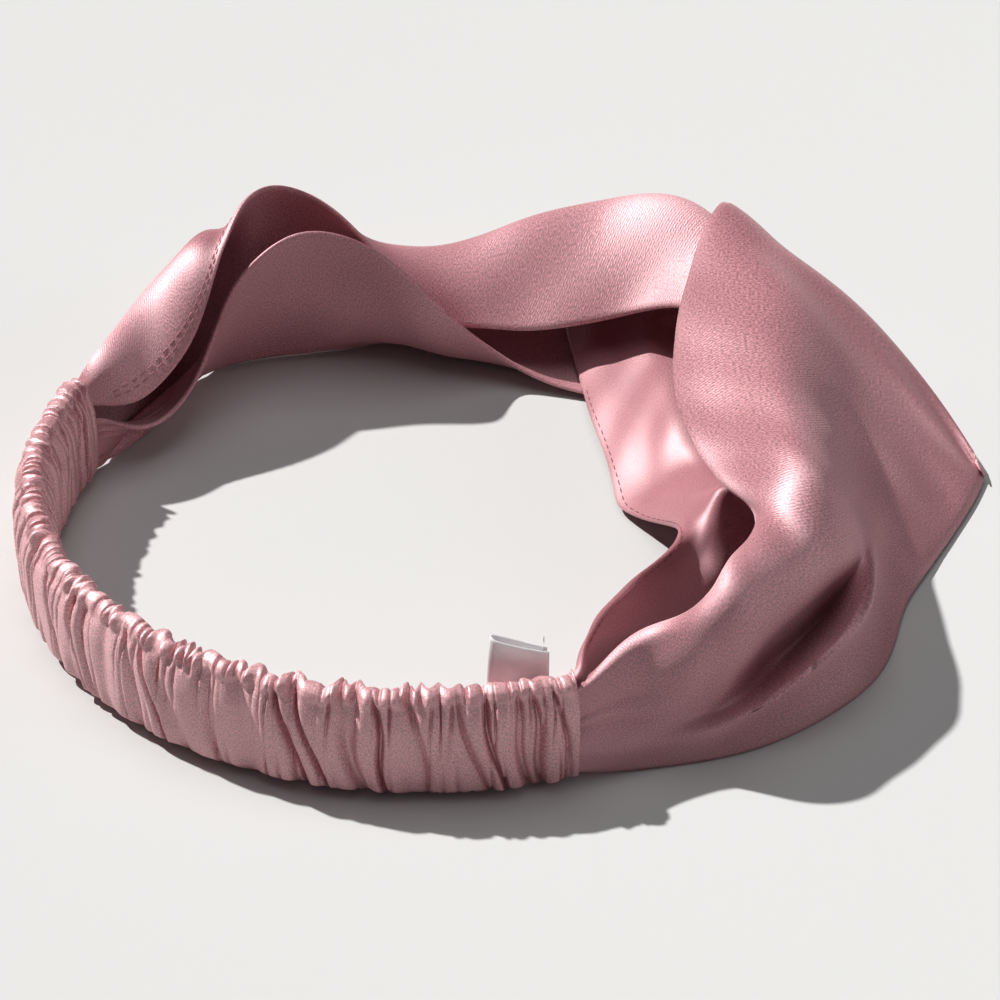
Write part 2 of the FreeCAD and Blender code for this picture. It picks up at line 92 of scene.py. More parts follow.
# Sections of the left ribbon: free edge first, foot edge last. It leaves the left end of the casing as the
# outer ply, leans out over its hump, dives under the right ribbon, turns back flat on the floor and returns
# to the casing as the inner ply.
LEFT_RIBBON = [
    [(-91.6, 35.6, z) for z in (22, 18, 13, 8, 4)],
    [(-90.4, 38.6, z) for z in (22, 18, 13, 8, 4)],
    [(-86, 42, 19), (-87.5, 42.5, 24), (-89, 42, 25), (-89, 42, 13), (-89, 42, 0.8)],
    [(-77, 43, 17), (-80, 46, 27), (-85, 50, 32), (-88, 50, 17), (-82, 46, 0.7)],
    [(-71, 48, 19), (-73.5, 53, 30), (-78, 62, 35), (-82, 62, 17), (-74, 56, 0.7)],
    [(-63, 55, 26), (-65.5, 61, 36), (-70, 72, 40), (-74, 75, 20), (-68, 70, 0.7)],
    [(-59, 67, 38), (-61, 74, 43), (-63.5, 81, 40), (-66, 84, 20), (-62, 79, 0.7)],
    [(-55, 83, 44), (-57, 85, 33), (-58, 86, 22), (-59, 85, 10), (-59, 82, 0.8)],
    [(-47, 87, 44), (-48, 89, 33), (-49, 90, 22), (-50, 89, 11), (-50, 85, 0.8)],
    [(-38, 85, 40), (-39, 89, 32), (-40, 92, 22), (-40, 92, 11), (-40, 90, 0.8)],
    [(-29, 82, 32), (-29, 87, 31), (-30, 92, 25), (-31, 96, 13), (-33, 97, 0.8)],
    [(-13, 78, 11), (-14, 81, 20), (-15, 88, 28), (-16, 98, 18), (-18, 102, 3)],
    [(-3, 76, 13), (-3, 81, 20), (-4, 93, 28), (-5, 102, 19), (-6, 105, 5)],
    [(6, 75, 12), (6, 82, 20), (6, 98, 31), (6, 106, 20), (6, 106, 7)],
    [(22, 76, 14), (23, 86, 23), (24, 105, 35), (25, 109, 22), (26, 104, 9)],
    [(38, 76, 21), (39, 86, 28), (41, 101, 38), (44, 105, 24), (45, 96, 11)],
    [(52, 62, 22), (54, 70, 28), (55, 80, 31), (56, 82, 24), (56, 82, 14)],
    [(65, 56, 11), (67, 61, 13), (68, 65, 13), (67, 70, 12), (65, 74, 9)],
    [(56, 57, 1.5), (57, 62, 1.5), (57, 68, 1.5), (56, 73, 1.5), (54, 78, 0.7)],
    [(36, 62, 1.2), (37, 69, 1.2), (37, 76, 1.2), (36, 83, 1.2), (34, 90, 0.9)],
    [(18, 67, 1.4), (18, 74, 1.2), (17, 81, 1.2), (17, 88, 1.2), (16, 95, 0.9)],
    [(7, 70, 3.5), (7, 74, 1.2), (7, 80, 1.2), (6, 87, 1.2), (6, 93, 0.9)],
    [(-2, 73, 9), (-2, 75, 2), (-3, 80, 1.2), (-4, 86, 1.2), (-5, 92, 0.9)],
    [(-13, 72, 21), (-14, 74, 11), (-14, 77, 2.5), (-15, 83, 1.2), (-16, 89, 0.9)],
    [(-24, 73, 35), (-24, 76, 24), (-25, 79, 14), (-26, 81, 4), (-27, 87, 0.9)],
    [(-36, 75, 40), (-36, 79, 30), (-35, 79, 20), (-34, 79, 10), (-35, 84, 0.7)],
    [(-45, 75, 39), (-45, 78, 31), (-45, 78, 22), (-45, 78, 12), (-47, 82, 0.8)],
    [(-52, 71, 35), (-52, 73, 29), (-52, 74, 21), (-54, 76, 12), (-56, 80, 0.8)],
    [(-58, 68, 29), (-57.5, 69, 23), (-58, 70, 16), (-61, 73, 9), (-63, 77, 0.7)],
    [(-63, 58, 16), (-63.5, 61, 13), (-64.5, 65, 12), (-67, 68, 7), (-70, 71, 0.7)],
    [(-69, 49, 9), (-70, 52, 8), (-72, 56, 8), (-74.5, 59, 5), (-77, 61, 0.8)],
    [(-76, 43, 9), (-77.5, 46, 8), (-79, 49, 8), (-80.5, 50.5, 5), (-82, 52, 0.8)],
    [(-84, 43.4, z) for z in (15, 12, 9, 5.5, 0.8)],
    [(-85.5, 40.2, z) for z in (16, 13, 9.5, 6, 3)],
    [(-86.9, 37.4, z) for z in (19, 16, 11, 6.5, 4)],
    [(-88.2, 34.4, z) for z in (19, 16, 11, 6.5, 4)],
]

# Heights across the right ribbon: at its pleated end inside the casing, and where it comes out of the casing.
END_HEIGHTS = (22, 18.4, 14.8, 11.2, 7.6, 4)
MOUTH_HEIGHTS = (25.5, 20.8, 16.1, 11.4, 6.7, 1.5)

# Sections of the right ribbon: it leaves the right end of the casing as the outer ply, makes the knot's roof,
# wraps the left ribbon, comes back across the floor and rises into the casing as the inner ply.
RIGHT_RIBBON = [
    [(9.4, -52.3, z) for z in END_HEIGHTS],
    [(12, -51.6, z) for z in END_HEIGHTS],
    [(15, -50.7, z) for z in MOUTH_HEIGHTS],
    [(29, -26, 14), (25, -37, 30), (26, -40, 25), (26, -42, 19), (27, -43, 13),
     (27, -45, 9), (27, -46, 6), (28, -47, 4), (28, -47, 2), (28, -47.5, 0.1)],
    [(42, -24, 20), (36, -41, 37), (38, -45, 32), (40, -46, 25), (42, -43, 16),
     (44, -41, 8), (46, -45, 10), (46, -45, 6), (47, -44, 2), (48, -44, 0.1)],
    [(47, -19, 24), (40, -36, 42), (44, -43, 36), (48, -40, 25), (50, -29, 12),
     (53, -25, 4), (59, -42, 19), (58, -31, 9), (62, -33, 3), (64, -34, 0.1)],
    [(52, -14, 28), (44, -28, 44), (51, -36, 40), (59, -30, 30), (61, -17, 13),
     (64, -12, 5), (72, -35, 26), (68, -20, 12), (75, -21, 4), (78, -20, 0.1)],
    [(50, -11, 33), (50, -19, 42), (57, -26, 41), (67, -20, 33), (70, -11, 22),
     (72, -9, 20), (75, -11, 22), (75, -1, 8), (78, -1, 5), (81, -2, 1)],
    [(45, -6, 35), (49, -7, 37), (55, -12, 46), (61, -14, 43), (68, -7, 32),
     (72, -1, 22), (75, 2, 16), (77, 6, 9), (81, 7, 5), (86, 7, 1)],
    [(39, 6, 34), (47, 8, 34), (54, -1, 46), (62, -3, 44), (69, 8, 30),
     (73, 16, 19), (77, 18, 14), (82, 20, 9), (86, 18, 5), (91, 16, 1)],
    [(35, 24, 34), (43, 25, 35), (51, 16, 44), (58, 14, 44), (65, 21, 33),
     (72, 28, 22), (78, 29, 16), (84, 28, 11), (90, 28, 6), (97, 27, 1)],
    [(35, 42, 34), (41, 41, 38), (50, 36, 43), (58, 34, 42), (66, 38, 33),
     (73, 42, 24), (80, 42, 18), (87, 41, 12), (94, 39, 6), (101, 36, 1)],
    [(38, 59, 36), (44, 58, 39), (51, 55, 41), (59, 52, 40), (66, 53, 34),
     (73, 53, 27), (81, 52, 20), (88, 48, 14), (95, 43, 8), (102, 39, 1)],
    [(42, 75, 38), (46, 74, 39), (52, 71, 38), (59, 68, 36), (66, 66, 31),
     (74, 64, 25), (81, 59, 19), (88, 55, 13), (95, 49, 7), (102, 40, 2)],
    [(48, 87, 41), (53, 84, 39), (58, 78, 36), (65, 74, 33), (71, 72, 29),
     (79, 69, 23), (87, 63, 17), (93, 56, 12), (98, 49, 6), (102, 37, 3)],
    [(50, 96, 26), (61, 89, 22), (70, 82, 18), (79, 73, 14), (88, 61, 9), (96, 49, 5)],
    [(46, 102, 10), (57, 95, 8), (66, 87, 7), (74, 79, 6), (81, 69, 5), (88, 58, 4.5)],
    [(33, 101, 5), (41, 98, 5), (49, 95, 5), (57, 91, 5), (64, 87, 5), (70, 81, 5)],
    [(12, 98, 4), (16, 95, 6), (21, 95, 6), (26, 93, 7), (32, 90, 8), (37, 92, 3)],
    [(16, 79, 3), (20, 76, 5), (25, 76, 6), (29, 75, 7), (34, 73, 9), (42, 80, 3)],
    [(19, 58, 3), (23, 57, 5), (28, 58, 6), (32, 58, 7), (36, 58, 9), (44, 66, 3)],
    [(23, 42, 3), (27, 42, 5), (31, 43, 6), (35, 44, 7), (39, 43, 9), (47, 53, 3)],
    [(24, 31, 2), (30, 31, 3), (35, 32, 4), (40, 34, 6), (44, 33, 9), (52, 42, 3)],
    [(25, 28, 1.5), (31, 26, 4), (36, 24, 8), (42, 18, 16), (47, 23, 14), (54, 34, 6)],
    [(32, 19, 6), (36, 16, 10), (40, 15, 15), (44, 11, 23), (48, 16, 17), (55, 25, 8)],
    [(38, 6, 15), (40, 7, 18), (42, 8, 21), (45, 10, 25), (50, 13, 16), (55, 17, 8)],
    [(33, -6, 20), (37, -3, 15), (41, -1, 11), (45, 0, 8), (49, 2, 5), (52, 4, 2)],
    [(24, -20, 22), (27, -20, 17.5), (30, -19, 13), (33, -18, 9), (36, -17, 6), (40, -14, 2)],
    [(15, -34, 24), (17, -33, 20), (19, -32, 15.5), (21, -31, 11), (24, -29, 6.5), (26, -27, 2)],
    [(15.6, -46, z) for z in MOUTH_HEIGHTS],
    [(13.4, -47.6, z) for z in END_HEIGHTS],
    [(11, -48.35, z) for z in END_HEIGHTS],
    [(8.6, -49, z) for z in END_HEIGHTS],
]


# ---------------------------------------------------------------- layout and small mesh helpers

def layout_shift():
    """The move, in metres, that lays the casing's arc on its CAD piece in the frame."""
    low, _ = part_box("elastic_casing")
    far_left = CASING_MIDDLE[0] - CASING_RADII[0] - CASING_HALF_DEPTH
    nearest = CASING_MIDDLE[1] - CASING_RADII[1] - CASING_HALF_DEPTH
    return np.array([low[0] - far_left * MM, low[1] - nearest * MM, 0.0])


SHIFT = layout_shift()


def spline_basis(count, samples):
    """Weights of a clamped cubic spline's poles, one row for each evenly spaced sample."""
    knots = np.concatenate([[0] * 3, np.arange(count - 2), [count - 3] * 3]).astype(float)
    spots = np.linspace(0, count - 3, samples)
    spots[-1] -= 1e-9
    spans = range(len(knots) - 1)
    weights = np.array([(knots[i] <= spots) & (spots < knots[i + 1]) for i in spans], float).T
    for degree in (1, 2, 3):
        raised = np.zeros((samples, weights.shape[1] - 1))
        for i in range(raised.shape[1]):
            rise = knots[i + degree] - knots[i]
            fall = knots[i + degree + 1] - knots[i + 1]
            if rise > 0:
                raised[:, i] += (spots - knots[i]) / rise * weights[:, i]
            if fall > 0:
                raised[:, i] += (knots[i + degree + 1] - spots) / fall * weights[:, i + 1]
        weights = raised
    return weights


def respaced(section, count):
    """The same section with count points, evenly spaced in number along the old ones."""
    old = np.array(section, float)
    spots = np.linspace(0, len(old) - 1, count)
    return np.stack([np.interp(spots, np.arange(len(old)), old[:, k]) for k in range(3)], 1)


def smooth_grid(sections, rows, columns):
    """Points of the smooth surface through a ribbon's sections, in the frame, in metres."""
    most = max(len(section) for section in sections)
    net = np.array([respaced(section, most) for section in sections]) * MM + SHIFT
    along = spline_basis(len(sections), rows)
    across = spline_basis(most, columns)
    return np.einsum("ai,bj,ijk->abk", along, across, net)


def grid_normals(grid):
    normal = np.cross(np.gradient(grid, axis=0), np.gradient(grid, axis=1))
    return normal / np.maximum(np.linalg.norm(normal, axis=2, keepdims=True), 1e-12)


def running_length(grid, axis):
    """Distance from the first line of the grid, along the given axis, averaged over the other one."""
    steps = np.linalg.norm(np.diff(grid, axis=axis), axis=2).mean(axis=1 - axis)
    return np.concatenate([[0], np.cumsum(steps)])


def smoothstep(value, low, high):
    t = np.clip((value - low) / (high - low), 0, 1)
    return t * t * (3 - 2 * t)


def make_object(name, vertices, faces, material, uvs=None):
    """A smooth-shaded mesh object; uvs holds one pair for each vertex."""
    mesh = bpy.data.meshes.new(name)
    mesh.from_pydata([tuple(v) for v in vertices], [], [tuple(f) for f in faces])
    mesh.validate()
    mesh.polygons.foreach_set("use_smooth", [True] * len(mesh.polygons))
    if uvs is not None:
        layer = mesh.uv_layers.new(name="UVMap")
        corners = np.empty(len(mesh.loops), int)
        mesh.loops.foreach_get("vertex_index", corners)
        layer.data.foreach_set("uv", np.asarray(uvs, float)[corners].ravel())
    mesh.materials.append(material)
    piece = bpy.data.objects.new(name, mesh)
    bpy.context.collection.objects.link(piece)
    return piece


def tube_faces(rings, points, closed_rings=False):
    """Quads of a tube of closed rings; the last ring may join the first."""
    faces = []
    last = rings if closed_rings else rings - 1
    for i in range(last):
        for j in range(points):
            a = i * points + j
            b = i * points + (j + 1) % points
            c = ((i + 1) % rings) * points + (j + 1) % points
            d = ((i + 1) % rings) * points + j
            faces.append((a, b, c, d))
    return faces


# ---------------------------------------------------------------- materials

def node_material(name):
    material = bpy.data.materials.new(name)
    material.use_nodes = True
    nodes = material.node_tree.nodes
    links = material.node_tree.links
    return material, nodes, links, nodes["Principled BSDF"]


def noise(nodes, links, vector, scale, detail=2.0):
    texture = nodes.new("ShaderNodeTexNoise")
    texture.inputs["Scale"].default_value = scale
    texture.inputs["Detail"].default_value = detail
    links.new(vector, texture.inputs["Vector"])
    return texture.outputs["Fac"]


def blend_colours(nodes, links, factor, first, second):
    mix = nodes.new("ShaderNodeMix")
    mix.data_type = "RGBA"
    mix.inputs["A"].default_value = (*first, 1)
    mix.inputs["B"].default_value = (*second, 1)
    links.new(factor, mix.inputs["Factor"])
    return mix.outputs["Result"]


def remap(nodes, links, value, low, high, new_low, new_high):
    ramp = nodes.new("ShaderNodeMapRange")
    ramp.inputs["From Min"].default_value = low
    ramp.inputs["From Max"].default_value = high
    ramp.inputs["To Min"].default_value = new_low
    ramp.inputs["To Max"].default_value = new_high
    links.new(value, ramp.inputs["Value"])
    return ramp.outputs["Result"]


def bump(nodes, links, height, distance, strength, normal=None):
    node = nodes.new("ShaderNodeBump")
    node.inputs["Strength"].default_value = strength
    node.inputs["Distance"].default_value = distance
    links.new(height, node.inputs["Height"])
    if normal is not None:
        links.new(normal, node.inputs["Normal"])
    return node.outputs["Normal"]


def twill_lines(nodes, links, vector, pitch, tilt):
    """Fine diagonal lines of the satin's weave, pitch metres apart."""
    turn = nodes.new("ShaderNodeMapping")
    turn.inputs["Rotation"].default_value = (0, 0, math.radians(tilt))
    links.new(vector, turn.inputs["Vector"])
    wave = nodes.new("ShaderNodeTexWave")
    wave.wave_type = "BANDS"
    wave.bands_direction = "X"
    wave.inputs["Scale"].default_value = math.pi / (10 * pitch)
    wave.inputs["Distortion"].default_value = 0.6
    wave.inputs["Detail"].default_value = 1.0
    wave.inputs["Detail Scale"].default_value = 2.0
    links.new(turn.outputs["Vector"], wave.inputs["Vector"])
    return wave.outputs["Fac"]


def satin_material(name, deep, light, roughness=0.55):
    """Rose satin: a gloss that spreads across its lengthwise yarns, fine sparkle and a diagonal weave."""
    material, nodes, links, shader = node_material(name)
    place = nodes.new("ShaderNodeUVMap")
    place.uv_map = "UVMap"
    uv = place.outputs["UV"]
    patches = noise(nodes, links, uv, 45, 3)
    grain = noise(nodes, links, uv, 2600, 2)
    tone = blend_colours(nodes, links, remap(nodes, links, patches, 0.3, 0.7, 0, 1), deep, light)
    speck = nodes.new("ShaderNodeMix")
    speck.data_type = "RGBA"
    speck.blend_type = "MULTIPLY"
    speck.inputs["Factor"].default_value = 1.0
    links.new(tone, speck.inputs["A"])
    lines = twill_lines(nodes, links, uv, TWILL_PITCH, 38)
    woven = nodes.new("ShaderNodeMath")
    woven.operation = "MULTIPLY"
    links.new(remap(nodes, links, grain, 0.3, 0.7, 0.62, 1.42), woven.inputs[0])
    links.new(remap(nodes, links, lines, 0, 1, 0.94, 1.05), woven.inputs[1])
    links.new(woven.outputs["Value"], speck.inputs["B"])
    links.new(speck.outputs["Result"], shader.inputs["Base Color"])
    rough = remap(nodes, links, grain, 0.3, 0.7, roughness - 0.06, roughness + 0.06)
    links.new(rough, shader.inputs["Roughness"])
    weave = bump(nodes, links, lines, 0.03 * MM, 0.4)
    rough_surface = bump(nodes, links, grain, 0.10 * MM, 0.6, weave)
    links.new(rough_surface, shader.inputs["Normal"])
    across_yarns = 0.25
    yarns = nodes.new("ShaderNodeTangent")
    yarns.direction_type = "UV_MAP"
    yarns.uv_map = "UVMap"
    links.new(yarns.outputs["Tangent"], shader.inputs["Tangent"])
    shader.inputs["Metallic"].default_value = 0.25
    shader.inputs["IOR"].default_value = 2.2
    shader.inputs["Specular IOR Level"].default_value = 0.6
    shader.inputs["Anisotropic"].default_value = 0.8
    shader.inputs["Anisotropic Rotation"].default_value = across_yarns
    return material


def thread_material(name, colour):
    """Twisted polyester thread: fine slanted strands and a soft gloss."""
    material, nodes, links, shader = node_material(name)
    place = nodes.new("ShaderNodeTexCoord")
    strands = twill_lines(nodes, links, place.outputs["Object"], 0.12 * MM, 30)
    dark = tuple(0.6 * c for c in colour)
    links.new(blend_colours(nodes, links, strands, dark, colour), shader.inputs["Base Color"])
    links.new(bump(nodes, links, strands, 0.03 * MM, 0.6), shader.inputs["Normal"])
    shader.inputs["Roughness"].default_value = 0.5
    shader.inputs["Sheen Weight"].default_value = 0.2
    return material


def label_material():
    """White satin tape with fine cross ribs; it is blank."""
    material, nodes, links, shader = node_material("label_satin")
    place = nodes.new("ShaderNodeUVMap")
    place.uv_map = "UVMap"
    uv = place.outputs["UV"]
    ribs = twill_lines(nodes, links, uv, 0.35 * MM, 90)
    patches = noise(nodes, links, uv, 300, 2)
    tone = blend_colours(nodes, links, patches, (0.80, 0.77, 0.79), (0.90, 0.89, 0.90))
    links.new(tone, shader.inputs["Base Color"])
    links.new(bump(nodes, links, ribs, 0.04 * MM, 0.5), shader.inputs["Normal"])
    shader.inputs["Roughness"].default_value = 0.42
    shader.inputs["Sheen Weight"].default_value = 0.15
    shader.inputs["Subsurface Weight"].default_value = 0.3
    shader.inputs["Subsurface Radius"].default_value = (1.0, 0.9, 0.9)
    shader.inputs["Subsurface Scale"].default_value = 1.0 * MM
    return material


def elastic_material():
    """Knitted elastic: lengthwise rubber cores under cross threads."""
    material, nodes, links, shader = node_material("woven_elastic")
    place = nodes.new("ShaderNodeUVMap")
    place.uv_map = "UVMap"
    uv = place.outputs["UV"]
    cores = twill_lines(nodes, links, uv, 1.1 * MM, 90)
    picks = twill_lines(nodes, links, uv, 0.5 * MM, 0)
    tone = blend_colours(nodes, links, cores, (0.55, 0.53, 0.51), (0.80, 0.78, 0.76))
    links.new(tone, shader.inputs["Base Color"])
    ribbed = bump(nodes, links, cores, 0.15 * MM, 0.6)
    links.new(bump(nodes, links, picks, 0.08 * MM, 0.5, ribbed), shader.inputs["Normal"])
    shader.inputs["Roughness"].default_value = 0.7
    return material


def floor_material():
    """Pale matt paper with a trace of unevenness."""
    material, nodes, links, shader = node_material("pale_floor")
    place = nodes.new("ShaderNodeTexCoord")
    patches = noise(nodes, links, place.outputs["Object"], 3, 2)
    tone = blend_colours(nodes, links, patches, (0.565, 0.568, 0.565), (0.58, 0.583, 0.58))
    links.new(tone, shader.inputs["Base Color"])
    shader.inputs["Roughness"].default_value = 0.9
    shader.inputs["Specular IOR Level"].default_value = 0.1
    return material


# ---------------------------------------------------------------- ribbons

def closed_sheet(name, middle, thickness, material, edge=0.6):
    """A thin closed sheet round a grid of middle points, with rounded long edges."""
    rows, columns, _ = middle.shape
    normal = grid_normals(middle)
    across = running_length(middle, 1)
    width = across[-1]
    near_edge = np.minimum(across, width - across)
    round_off = np.sqrt(np.clip(1 - (1 - np.clip(near_edge / (edge * thickness), 0, 1)) ** 2, 0.02, 1))
    half = thickness / 2 * round_off[None, :, None]
    front = middle + normal * half
    back = middle - normal * half
    loop = np.concatenate([front, back[:, ::-1]], axis=1)
    along = running_length(middle, 0)
    uvs = np.empty((rows, 2 * columns, 2))
    uvs[:, :, 0] = along[:, None]
    uvs[:, :columns, 1] = across
    uvs[:, columns:, 1] = across[::-1]
    points = 2 * columns
    faces = tube_faces(rows, points)
    for start, flip in ((0, True), ((rows - 1) * points, False)):
        for j in range(columns - 1):
            a, b = start + j, start + j + 1
            c, d = start + points - 2 - j, start + points - 1 - j
            faces.append((a, d, c, b) if flip else (a, b, c, d))
    return make_object(name, loop.reshape(-1, 3), faces, material, uvs.reshape(-1, 2))


def pleats(along, across, length, fade, count, height, seed):
    """Soft lengthwise pleats that run out of both sewn ends of a ribbon and fade away."""
    shape = np.random.default_rng(seed)
    wander = shape.uniform(0, 2 * math.pi, 3)
    total = np.zeros((len(along), len(across)))
    v = across[None, :] / across[-1]
    for number, distance in enumerate((along, along[-1] - along)):
        reach = np.exp(-((np.maximum(distance - length, 0)) / fade) ** 2)[:, None]
        phase = count * v + 0.5 * np.sin(2 * math.pi * v * 1.7 + wander[number])
        total += height * reach * np.sin(2 * math.pi * phase + wander[2])
    return total


def soft_folds(along, across, seed):
    """Faint crossing undulations of loose satin, mostly lengthwise, with random places and lengths."""
    shape = np.random.default_rng(seed)
    total = np.zeros((len(along), len(across)))
    for wavelength in (14 * MM, 19 * MM, 26 * MM, 37 * MM):
        heading = shape.uniform(0.45, 1.25) * shape.choice((-1, 1))
        place = along[:, None] * math.cos(heading) + across[None, :] * math.sin(heading)
        bend = 0.6 * np.sin(along / (23 * MM) + shape.uniform(0, 6))[:, None]
        total += 0.010 * wavelength * np.sin(2 * math.pi * place / wavelength + bend + shape.uniform(0, 6))
    return total


def ribbon_grid(sections, seed):
    rows, columns = ((420, 84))
    grid = smooth_grid(sections, rows, columns)
    along = running_length(grid, 0)
    across = running_length(grid, 1)
    lift = pleats(along, across, 8 * MM, 16 * MM, 3.3, 0.35 * MM, seed)
    lift += soft_folds(along, across, seed + 20)
    lift *= smoothstep(grid[:, :, 2], 0.5 * MM, 4 * MM)
    return grid + grid_normals(grid) * lift[:, :, None]


def stitches_along(name, line, outward, stitch, material):
    """One mesh of thread stitches along a line of points; stitch gives their pitch and length."""
    pitch, length = stitch
    steps = np.linalg.norm(np.diff(line, axis=0), axis=1)
    distance = np.concatenate([[0], np.cumsum(steps)])
    count = int(distance[-1] / pitch)
    vertices = []
    faces = []
    rings, points = 7, 6
    for number in range(count):
        spots = (number + 0.5) * pitch + np.linspace(-length / 2, length / 2, rings)
        centre = np.stack([np.interp(spots, distance, line[:, k]) for k in range(3)], 1)
        up = np.stack([np.interp(spots, distance, outward[:, k]) for k in range(3)], 1)
        up /= np.linalg.norm(up, axis=1, keepdims=True)
        ahead = np.gradient(centre, axis=0)
        ahead /= np.linalg.norm(ahead, axis=1, keepdims=True)
        side = np.cross(ahead, up)
        bow = np.linspace(-1, 1, rings)
        radius = THREAD * np.sqrt(np.clip(1 - bow ** 4, 0.05, 1))
        centre = centre + up * (THREAD * (0.7 - 1.1 * bow ** 2))[:, None]
        first = len(vertices)
        for i in range(rings):
            for j in range(points):
                turn = 2 * math.pi * j / points
                vertices.append(centre[i] + radius[i] * (side[i] * math.cos(turn) + up[i] * math.sin(turn)))
        faces += [tuple(first + k for k in face) for face in tube_faces(rings, points)]
        faces.append(tuple(first + j for j in range(points)))
        faces.append(tuple(first + (rings - 1) * points + j for j in reversed(range(points))))
    return make_object(name, vertices, faces, material)


def hem_stitches(name, grid, rows, material):
    """Two rows of stitches beside a ribbon's free edge, on its front, over the given stretch of its rows."""
    normal = grid_normals(grid)
    across = running_length(grid, 1)
    first, last = (int(part * len(grid)) for part in rows)
    lines = []
    for depth in (HEM_INSET, 1.7 * HEM_INSET):
        column = int(np.searchsorted(across, depth))
        up = normal[first:last, column]
        line = grid[first:last, column] + up * CLOTH / 2
        lines.append((line, up))
    pieces = [stitches_along(f"{name}_{n}", line, up, HEM_STITCH, material)
              for n, (line, up) in enumerate(lines)]
    return join(name, pieces)


def join(name, pieces):
    """One object from several meshes."""
    with bpy.context.temp_override(active_object=pieces[0], selected_editable_objects=pieces):
        bpy.ops.object.join()
    pieces[0].name = name
    pieces[0].data.name = name
    return pieces[0]


# ---------------------------------------------------------------- gathered casing

def casing_frame(turn):
    """Points on the casing's middle line and its outward normals, for angles in radians."""
    x = CASING_MIDDLE[0] + CASING_RADII[0] * np.cos(turn)
    y = CASING_MIDDLE[1] + CASING_RADII[1] * np.sin(turn)
    point = np.stack([x * MM + SHIFT[0], y * MM + SHIFT[1], np.zeros_like(turn)], -1)
    out = np.stack([np.cos(turn) / CASING_RADII[0], np.sin(turn) / CASING_RADII[1], np.zeros_like(turn)], -1)
    return point, out / np.linalg.norm(out, axis=-1, keepdims=True)


def uneven(s, count, seed, strength):
    """A rising count of folds along s, from 0 to 1, with unequal spacing."""
    shape = np.random.default_rng(seed)
    phase = count * s
    for waves in (2, 3, 5, 7, 11, 17):
        phase = phase + strength * shape.uniform(0.4, 1) * np.sin(2 * math.pi * (waves * s + shape.uniform()))
    return phase


def fold(phase):
    """Rounded crests with sharp valleys between them, from -0.72 to 0.28, steeper on one side."""
    skewed = phase + 0.13 * np.sin(2 * math.pi * phase)
    return np.abs(np.sin(math.pi * skewed)) ** 0.6 - 0.72


def fold_sizes(phase, seed, low, high):
    """A steady random size for each numbered fold."""
    sizes = np.random.default_rng(seed).uniform(low, high, 200)
    return np.interp(phase, np.arange(200), sizes)


def gather_set(s, folds, seed, size_seed):
    """One set of the casing's folds, in millimetres."""
    count, unevenness, smallest, largest = folds
    phase = uneven(s, count, seed, unevenness)
    return fold_sizes(phase, size_seed, smallest, largest) * fold(phase)


def gathers(s, z, seed):
    """Height of the cloth's gathers, in millimetres, at places along and up the casing, both 0 to 1."""
    slant = 0.024 * (z - 0.5) + 0.006 * np.sin(5 * z + 40 * s)
    near_rim = 0.12 + 0.88 * smoothstep(z, 0.35, 0.95)
    near_foot = 0.10 + 0.90 * smoothstep(-z, -0.5, -0.05)
    deep = gather_set(s + slant, DEEP_FOLDS, seed, seed + 3)
    top = gather_set(s - 0.006 * z, RIM_FOLDS, seed + 1, seed + 4) * near_rim
    foot = gather_set(s + 0.008 * z, FOOT_FOLDS, seed + 2, seed + 5) * near_foot
    return deep + top + foot


def casing_section(z):
    """Half the casing's depth, in millimetres, at a height from 0 to 1: body, pinched neck, rolled rim."""
    heights = np.array([0, 0.03, 0.10, 0.25, 0.50, 0.72, 0.84, 0.89, 0.94, 0.98, 1.0])
    depths = np.array([0.35, 1.5, 2.6, 3.2, 3.5, 3.3, 2.5, 1.9, 2.0, 1.4, 0.3])
    return np.interp(z, heights, depths)


def casing_outside(s, z, side):
    """The gathered outer skin: points along s, up z and on either side of the casing's middle line."""
    mouth = 1 - smoothstep(np.minimum(s, 1 - s), 0.0, 0.03)
    rim = smoothstep(z, 0.84, 0.97)
    foot = smoothstep(-z, -0.12, 0.0)
    folds = np.where(side > 0, gathers(s, z, 3), 0.8 * gathers(s, z, 53))
    calm = 1 - 0.45 * mouth
    depth = side * (casing_section(z) + (1.15 - 0.8 * rim - 0.8 * foot) * folds * calm)
    ruffle = uneven(s, 37, 91, 0.4)
    sway = 0.9 * np.sin(2 * math.pi * ruffle) * fold_sizes(ruffle, 92, 0.3, 1.2) * rim
    dip = 1.5 * fold(uneven(s, 44, 93, 0.4)) * rim * fold_sizes(ruffle, 94, 0.3, 1.1)
    hem = 1.1 * (0.36 - fold(uneven(s, 36, 95, 0.4))) * foot * fold_sizes(ruffle, 96, 0.3, 1.2)
    wander = np.sin(2 * math.pi * uneven(s + 0.01 * z, 30, 97, 0.3))
    drift = 0.0022 * wander * (0.3 + 0.7 * (z - 0.4) ** 2)
    spot = np.clip(s + drift * (1 - mouth), 0, 1)
    turn = np.radians(CASING_TURN[0] + (CASING_TURN[1] - CASING_TURN[0]) * spot)
    point, out = casing_frame(turn)
    skin = point + out * ((depth + sway) * MM)[..., None]
    skin[..., 2] = (CASING_FLOOR_GAP + (CASING_HEIGHT - 0.9) * z + dip + hem) * MM
    return skin, point, out, mouth


